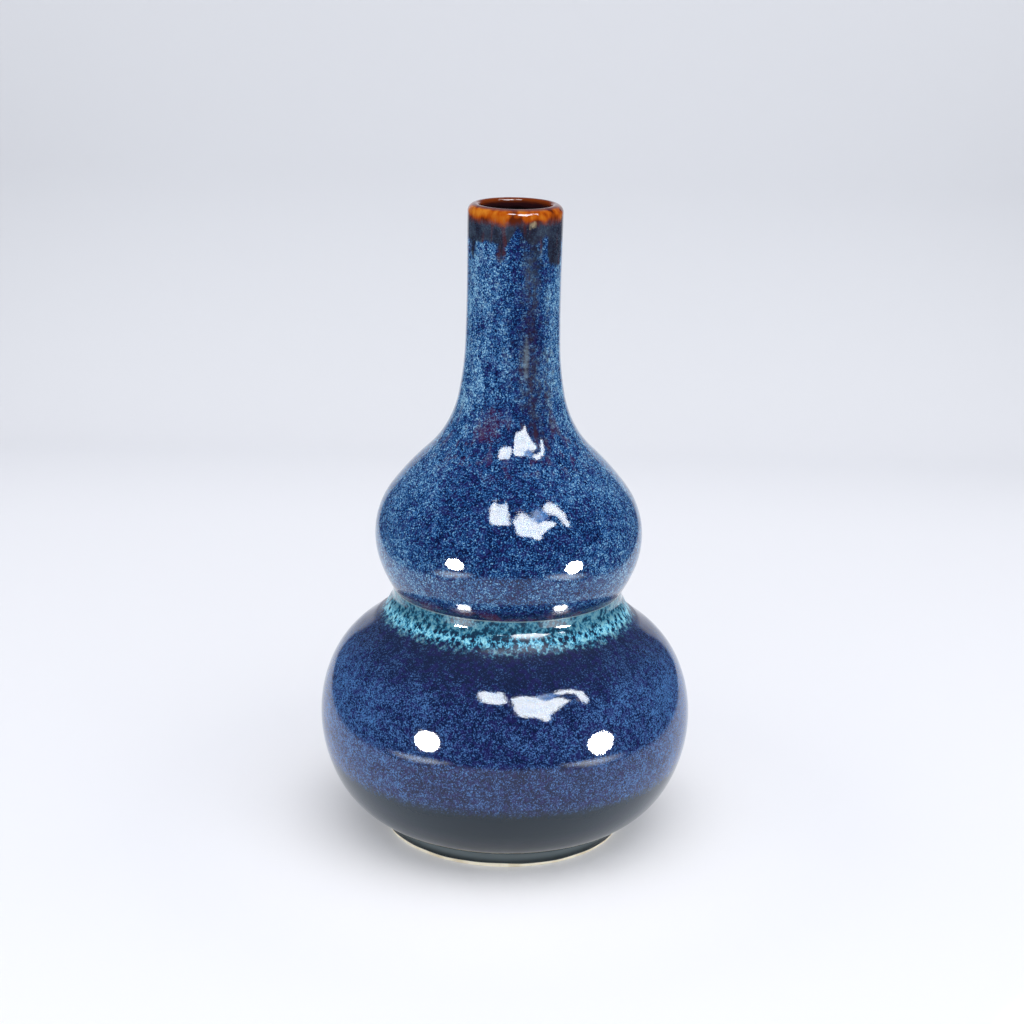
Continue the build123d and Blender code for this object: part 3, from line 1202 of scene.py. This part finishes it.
def weld_points(mesh: bpy.types.Mesh) -> None:
    """Joins the points of a mesh that lie in the same place.

    Args:
        mesh: the mesh.
    """
    work = bmesh.new()
    work.from_mesh(mesh)
    bmesh.ops.remove_doubles(work, verts=work.verts, dist=1e-7)
    work.to_mesh(mesh)
    work.free()


def shell(name: str, line: Line, depth: float, segments: int, weld: bool = False) -> bpy.types.Object:
    """Makes a thin closed coat whose outside follows a line.

    Args:
        name: the name of the piece.
        line: the outside of the coat on the half section.
        depth: how thick the coat is.
        segments: how many steps go round the axis.
        weld: whether points that meet on the axis become one.

    Returns:
        The new object.
    """
    outer = np.array(line.points)
    normals = np.array(line.normals)
    kept = sorted({*range(0, len(outer), HIDDEN_STEP), len(outer) - 1}, reverse=True)
    inner = np.maximum(outer[kept] - normals[kept] * depth, [0.0, -1.0])
    section = np.concatenate([outer, inner])
    sides = np.roll(section, -1, axis=0) - section
    flat = np.stack([sides[:, 1], -sides[:, 0]], axis=1)
    flat /= np.maximum(np.hypot(flat[:, 0], flat[:, 1]), 1e-12)[:, None]
    starts, ends = flat.copy(), flat.copy()
    starts[: len(outer) - 1] = normals[:-1]
    ends[: len(outer) - 1] = normals[1:]
    return revolve(name, section, starts, ends, segments, weld)


def carry(piece: bpy.types.Object, slot: str, *nodes: str) -> None:
    """Seats a piece on the frame and reports it.

    Args:
        piece: the piece.
        slot: the record's material slot of the piece; not used.
        *nodes: the CAD nodes that it stands for.
    """
    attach(piece, BODY)
    if nodes:
        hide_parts(*nodes)
    stands_for = ", ".join(nodes) or "itself"
    log.info("%s: %d faces, stands for %s", piece.name, len(piece.data.polygons), stands_for)


class Coat(Enum):
    """The outer coats from the foot up: the record's slot of each, and the CAD nodes that it stands for."""

    FOOT_BAND = ("base_glaze", ())
    LOWER_BLUE = ("lower_blue_glaze", ("lower_blue_glaze",))
    TURQUOISE = ("turquoise_glaze", ("turquoise_roll",))
    UPPER_BLUE = ("upper_blue_glaze", ("upper_blue_glaze", *(f"iron_run_{n}" for n in range(1, 10))))
    NECK_BAND = ("base_glaze", ("base_glaze",))
    LIP = ("lip_glaze", ("lip_glaze",))


@dataclass
class OuterGlaze:
    """The coats of the outer glaze, each its own closed shell, that meet edge to edge in one even surface."""

    wall: Wall
    finish: DripGlaze = DripGlaze()
    thickness: float = 0.0004
    base_thickness: float = 0.0007
    segments: int = 320
    lower_segments: int = 128
    edge_wave: float = 0.00020
    edge_rise: float = 0.0006
    edge_reach: float = 0.0003
    iron_drop: float = 0.0012
    iron_reach: float = 30.0

    def build(self) -> None:
        """Builds every coat and dresses it."""
        wall = self.wall
        lower, upper = wall.lower_line(), wall.upper_line()
        material = self.finish.make(wall)
        stretches = {
            Coat.FOOT_BAND: lower.cut(wall.bare_foot + self.edge_rise, wall.band_top),
            Coat.LOWER_BLUE: lower.cut(wall.band_top, wall.roll_foot),
            Coat.TURQUOISE: lower.cut(wall.roll_foot),
            Coat.UPPER_BLUE: upper.cut(wall.waist, wall.blue_top),
            Coat.NECK_BAND: upper.cut(wall.blue_top, wall.lip_foot),
            Coat.LIP: upper.cut(wall.lip_foot),
        }
        edge = IronEdge(level=wall.blue_top - self.iron_drop)
        for coat, line in stretches.items():
            slot, nodes = coat.value
            based = coat in (Coat.FOOT_BAND, Coat.NECK_BAND)
            depth = self.base_thickness if based else self.thickness
            below = coat in (Coat.FOOT_BAND, Coat.LOWER_BLUE, Coat.TURQUOISE)
            segments = self.lower_segments if below else self.segments
            piece = shell(f"{coat.name.lower()}_coat", line, depth, segments)
            self._mark(piece.data, edge)
            if coat is Coat.FOOT_BAND:
                self._wave_edge(piece.data)
            piece.data.materials.append(material)
            carry(piece, slot, *nodes)

    def _mark(self, mesh: bpy.types.Mesh, edge: IronEdge) -> None:
        """Stores how far inside the iron glaze each point lies.

        Args:
            mesh: the mesh of a coat.
            edge: the lower edge of the iron glaze.
        """
        points = np.empty(len(mesh.vertices) * 3)
        mesh.vertices.foreach_get("co", points)
        x, y, z = points.reshape(-1, 3).T
        depth = np.clip(edge.depth(np.arctan2(y, x), z, np.hypot(x, y)), -self.iron_reach, self.iron_reach)
        stored = mesh.attributes.new("iron_depth", "FLOAT", "POINT")
        stored.data.foreach_set("value", depth.astype(np.float32))

    def _wave_edge(self, mesh: bpy.types.Mesh) -> None:
        """Lets the lowest edge of the glaze wander a little up and down round the foot.

        Args:
            mesh: the mesh of the lowest coat.
        """
        for point in mesh.vertices:
            if point.co.z < self.wall.bare_foot + self.edge_rise + self.edge_reach:
                angle = atan2(point.co.y, point.co.x)
                wave = sin(3 * angle + 0.6) + 0.6 * sin(8 * angle + 2.0) + 0.3 * sin(19 * angle)
                point.co.z += self.edge_wave * wave


@dataclass
class Inside:
    """The liner glaze, which covers the whole inside down to the floor."""

    wall: Wall
    finish: LinerGlaze = LinerGlaze()
    thickness: float = 0.0004
    segments: int = 128

    def build(self) -> None:
        """Builds the liner and dresses it."""
        piece = shell("liner_coat", self.wall.inner_line(), self.thickness, self.segments, weld=True)
        piece.data.materials.append(self.finish.make(self.wall))
        carry(piece, "liner_glaze", "liner_glaze")


@dataclass
class Foot:
    """The bare foot ring that the vase stands on."""

    wall: Wall
    coat: float = 0.0002
    width: float = 0.0058
    height: float = 0.003
    rounding: float = 0.0005
    segments: int = 320

    def build(self) -> None:
        """Builds the ring with softened lower edges and dresses it."""
        outer = self.wall.foot.radius - self.coat
        inner = outer - self.width
        soft = self.rounding
        line = Line()
        line.straight(np.array([inner, self.height]), np.array([inner, soft]))
        line.arc(np.array([inner, soft]), np.array([0.0, -1.0]), np.array([inner + soft, 0.0]))
        line.straight(np.array([inner + soft, 0.0]), np.array([outer - soft, 0.0]))
        line.arc(np.array([outer - soft, 0.0]), np.array([1.0, 0.0]), np.array([outer, soft]))
        line.straight(np.array([outer, soft]), np.array([outer, self.height]))
        section = np.array(line.points)
        starts = np.array(line.normals)
        ends = np.roll(starts, -1, axis=0)
        starts[-1] = ends[-1] = (0.0, 1.0)
        piece = revolve("foot_ring_clay", section, starts, ends, self.segments)
        piece.data.materials.append(BareClay("bare_clay").make())
        carry(piece, "bare_clay", "foot_ring")


@dataclass
class ThrownClay:
    """The clay sections and the slip between them, which the glaze covers."""

    sections: tuple[str, ...] = ("lower_bulb", "upper_bulb", "neck")
    joints: tuple[str, ...] = ("foot_slip", "waist_slip", "neck_slip")

    def dress(self) -> None:
        """Gives the frame's own clay nodes their finish."""
        body = BareClay("thrown_clay").make()
        slip = BareClay("joining_slip", pale=srgb(232, 224, 204), dark=srgb(206, 192, 164)).make()
        for names, material in ((self.sections, body), (self.joints, slip)):
            for name in names:
                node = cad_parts[name]
                node.data.materials.clear()
                node.data.materials.append(material)
                log.info("%s: dressed in %s", name, material.name)


class Face(Enum):
    """The face of a light: Blender's name of its shape, and how much of its size it fills."""

    RECTANGLE = ("RECTANGLE", 1.0)
    DISK = ("DISK", pi / 4)


def area_light(
    name: str, place: Point, aim: Point, size: tuple[float, float], glow: float, face: Face
) -> bpy.types.Object:
    """Adds a flat light that the camera doesn't see.

    Args:
        name: its name.
        place: where it stands.
        aim: what it points at.
        size: its width and height.
        glow: how bright its face is, where 1 is white.
        face: the shape of its face.

    Returns:
        The new light.
    """
    data = bpy.data.lights.new(name, "AREA")
    data.shape, filled = face.value
    data.size, data.size_y = size
    data.energy = glow * (size[0] * size[1] * filled) * pi
    light = bpy.data.objects.new(name, data)
    bpy.context.scene.collection.objects.link(light)
    away = Vector(place) - Vector(aim)
    light.matrix_world = Matrix.Translation(place) @ away.to_track_quat("Z", "Y").to_matrix().to_4x4()
    light.visible_camera = False
    return light


def stage_glow(piece: bpy.types.Object) -> None:
    """Hides a glowing piece from the camera, matt surfaces and shadows, so that it is seen only in the glaze.

    Args:
        piece: the piece.
    """
    piece.visible_camera = False
    piece.visible_diffuse = False
    piece.visible_shadow = False


@dataclass(frozen=True)
class KeyLight:
    """The large soft light from the front right, which the glaze doesn't mirror."""

    place: Point = (0.26, -0.60, 1.45)
    aim: Point = (0.0, 0.0, 0.1)
    size: tuple[float, float] = (1.5, 1.5)
    glow: float = 1.10

    def hang(self) -> None:
        """Hangs the light."""
        light = area_light("key_light", self.place, self.aim, self.size, self.glow, Face.RECTANGLE)
        light.visible_glossy = False


@dataclass(frozen=True)
class Lamp:
    """A small round lamp beside the vase: its bright face is seen in the glaze, and its light is soft."""

    name: str
    place: Point
    table: tuple[float, float]
    aim: Point = (0.0, 0.0, 0.05)
    width: float = 0.066
    glow: float = 300.0
    soft: float = 5.0
    pool_glow: float = 7.0
    pool_tint: Colour = srgb(244, 250, 255)
    pool_reach: tuple[float, float] = (0.070, 0.130)
    pool_turn: float = 24.0
    pool_rise: float = 0.0006
    pool_sides: int = 48

    def hang(self) -> None:
        """Hangs the lamp and its soft light, and lays the bright pool under it that the glaze mirrors."""
        size = (self.width, self.width)
        bright = area_light(self.name, self.place, self.aim, size, self.glow, Face.DISK)
        bright.visible_diffuse = False
        light = area_light(f"{self.name}_light", self.place, self.aim, size, self.soft, Face.DISK)
        light.visible_glossy = False
        self._lay_pool()

    def _lay_pool(self) -> None:
        """Lays the pool: an oval of light on the table that fades to nothing at its rim."""
        angle = np.linspace(0, 2 * pi, self.pool_sides, endpoint=False)
        rim = np.stack([np.cos(angle), np.sin(angle), 0 * angle], axis=1)
        mesh = bpy.data.meshes.new(f"{self.name}_pool")
        mesh.from_pydata(rim.tolist(), [], [tuple(range(len(rim)))])
        mix = Recipe(f"{self.name}_pool_glow")
        across = mix.vector("LENGTH", mix.vector("MULTIPLY", mix.place(), (MM, MM, 0.0)))
        mix.glow(self.pool_tint, mix.math("MULTIPLY", mix.step(across, 1.0, 0.1), self.pool_glow))
        mesh.materials.append(mix.material)
        pool = bpy.data.objects.new(f"{self.name}_pool", mesh)
        bpy.context.scene.collection.objects.link(pool)
        x, y = self.table
        turn = Matrix.Rotation(radians(self.pool_turn if x < 0 else -self.pool_turn), 4, "Z")
        oval = Matrix.Diagonal((*self.pool_reach, 1.0, 1.0))
        pool.matrix_world = Matrix.Translation((x, y, self.pool_rise)) @ turn @ oval
        stage_glow(pool)


@dataclass(frozen=True)
class Pane:
    """A bright opening in a dark room, seen only in the glaze. Its corners are directions in degrees.

    A corner is the angle to the right of the viewer's side, and the angle above the horizon.
    """

    name: str
    corners: tuple[tuple[float, float], ...]
    tint: Colour = srgb(248, 252, 255)
    glow: float = 23.0
    cloud_tint: Colour = srgb(226, 240, 252)
    cloud_size: float = 260.0
    far: float = 2.4
    height: float = 0.11

    def hang(self) -> None:
        """Hangs the pane and lets it glow."""
        points = []
        for aside, up in self.corners:
            turn, lift = radians(aside), radians(up)
            level = self.far * cos(lift)
            points.append((level * sin(turn), -level * cos(turn), self.far * sin(lift) + self.height))
        mesh = bpy.data.meshes.new(self.name)
        mesh.from_pydata(points, [], [tuple(range(len(points)))])
        mix = Recipe(f"{self.name}_glow")
        cloud = mix.step(mix.noise(mix.place(), self.cloud_size), 0.3, 0.8)
        mix.glow(mix.mix(cloud, self.tint, self.cloud_tint), self.glow)
        mesh.materials.append(mix.material)
        piece = bpy.data.objects.new(self.name, mesh)
        bpy.context.scene.collection.objects.link(piece)
        stage_glow(piece)


@dataclass(frozen=True)
class Window:
    """The window of the room, each pane drawn as the glaze mirrors it."""

    panes: tuple[Pane, ...] = (
        Pane(
            "left_pane",
            ((-28, 60), (-24, 63), (-10, 62), (-4, 64), (1, 56), (2, 50), (-9, 49), (-20, 50), (-24, 55)),
        ),
        Pane(
            "right_pane",
            (
                (5, 56), (17, 59), (28, 56), (35, 49), (42, 51), (50, 49), (53, 44), (44, 41), (37, 37),
                (32, 33), (31, 29), (28, 27), (24, 31), (20, 33), (10, 35), (8, 40), (7, 47),
            ),
        ),
        Pane(
            "blue_pane",
            ((28, 56), (38, 57), (46, 57), (50, 52), (42, 51), (35, 49)),
            tint=srgb(60, 136, 214),
            glow=13.0,
        ),
        Pane(
            "bent_pane",
            (
                (47, 56), (57, 57), (64, 54), (69, 47), (65, 38), (61, 35), (60, 41), (62, 48), (57, 52),
                (51, 53),
            ),
        ),
    )

    def hang(self) -> None:
        """Hangs every pane."""
        for pane in self.panes:
            pane.hang()


@dataclass
class Studio:
    """The table, the sweep behind it, the lights and the camera.

    The room is the light all round: the kind of ray that meets it, its colour and its strength.
    """

    front: tuple[tuple[float, float], ...] = (
        (-0.80, 0.46),
        (-0.46, 0.28),
        (-0.36, 0.10),
        (-0.33, -0.08),
        (-0.28, -0.22),
        (-0.16, -0.32),
        (0.02, -0.36),
        (0.19, -0.30),
        (0.29, -0.18),
        (0.33, -0.04),
        (0.36, 0.10),
        (0.46, 0.28),
        (0.80, 0.46),
    )
    lamps: tuple[Lamp, ...] = (
        Lamp("left_lamp", (-0.190, -0.216, 0.071), (-0.205, -0.215)),
        Lamp("right_lamp", (0.2155, -0.165, 0.060), (0.215, -0.200)),
    )
    fold: float = 0.56
    fold_steps: int = 24
    fold_radius: float = 0.16
    tall: float = 0.72
    room: tuple[tuple[str | None, Colour, float], ...] = (
        (None, srgb(90, 100, 120), 0.15),
        ("Is Diffuse Ray", srgb(240, 241, 245), 1.12),
        ("Is Camera Ray", srgb(222, 225, 230), 1.0),
    )
    camera_distance: float = 0.8047
    camera_aside: float = 0.00113
    camera_height: float = 0.37135
    camera_pitch: float = 16.733
    camera_roll: float = 1.26
    focal_pixels: float = 2154.6
    picture_pixels: int = 1024
    sensor: float = 36.0
    camera_reach: float = 20.0

    def build(self) -> None:
        """Builds everything round the vase."""
        self._sweep()
        self._lights()
        self._world()
        self._camera()

    def _sweep(self) -> None:
        """The table, cut off in front where its reflection ends, and turned up behind into the backdrop."""
        turn = np.linspace(0, pi / 2, self.fold_steps)
        fold = [(self.fold + self.fold_radius * sin(a), self.fold_radius * (1 - cos(a))) for a in turn]
        rows = []
        for x, y in self.front:
            row = [(x, y, 0.0)]
            row += [(x, back, up) for back, up in fold]
            row.append((x, self.fold + self.fold_radius, self.tall))
            rows.append(row)
        points = [point for row in rows for point in row]
        size = len(rows[0])
        faces = [
            (i * size + j, (i + 1) * size + j, (i + 1) * size + j + 1, i * size + j + 1)
            for i in range(len(rows) - 1)
            for j in range(size - 1)
        ]
        mesh = bpy.data.meshes.new("table_sweep")
        mesh.from_pydata(points, [], faces)
        mesh.shade_smooth()
        mesh.materials.append(Surround().make())
        sweep = bpy.data.objects.new("table_sweep", mesh)
        bpy.context.scene.collection.objects.link(sweep)
        log.info("table_sweep: %d faces", len(faces))

    def _lights(self) -> None:
        """A large soft key from the front right, and the lamps and window that are seen only in the glaze."""
        KeyLight().hang()
        for lamp in self.lamps:
            lamp.hang()
        Window().hang()

    def _world(self) -> None:
        """Pale light all round for matt surfaces and the camera, and a dim room in reflections."""
        world = bpy.data.worlds.new("room")
        world.use_nodes = True
        bpy.context.scene.world = world
        nodes, links = world.node_tree.nodes, world.node_tree.links
        nodes.clear()
        path = nodes.new("ShaderNodeLightPath")
        shown = None
        for ray, colour, strength in self.room:
            light = nodes.new("ShaderNodeBackground")
            light.inputs["Color"].default_value = colour
            light.inputs["Strength"].default_value = strength
            if ray is None:
                shown = light.outputs[0]
                continue
            mixed = nodes.new("ShaderNodeMixShader")
            links.new(path.outputs[ray], mixed.inputs[0])
            links.new(shown, mixed.inputs[1])
            links.new(light.outputs[0], mixed.inputs[2])
            shown = mixed.outputs[0]
        links.new(shown, nodes.new("ShaderNodeOutputWorld").inputs["Surface"])

    def _camera(self) -> None:
        """The camera, as fitted to the photograph."""
        data = bpy.data.cameras.new("camera")
        data.sensor_width = self.sensor
        data.lens = self.focal_pixels / self.picture_pixels * self.sensor
        data.clip_end = self.camera_reach
        camera = bpy.data.objects.new("camera", data)
        place = Matrix.Translation((self.camera_aside, -self.camera_distance, self.camera_height))
        pitch = Matrix.Rotation(radians(90 - self.camera_pitch), 4, "X")
        camera.matrix_world = place @ pitch @ Matrix.Rotation(radians(self.camera_roll), 4, "Z")
        bpy.context.scene.collection.objects.link(camera)
        bpy.context.scene.camera = camera
        bpy.context.scene.view_settings.view_transform = "Standard"


def main() -> None:
    """Builds the vase from the foot up, then the studio round it."""
    logging.basicConfig(level=logging.INFO, format="%(name)s %(message)s")
    wall = Wall()
    Foot(wall).build()
    ThrownClay().dress()
    Inside(wall).build()
    OuterGlaze(wall).build()
    Studio().build()


if __name__ == "__main__":
    main()
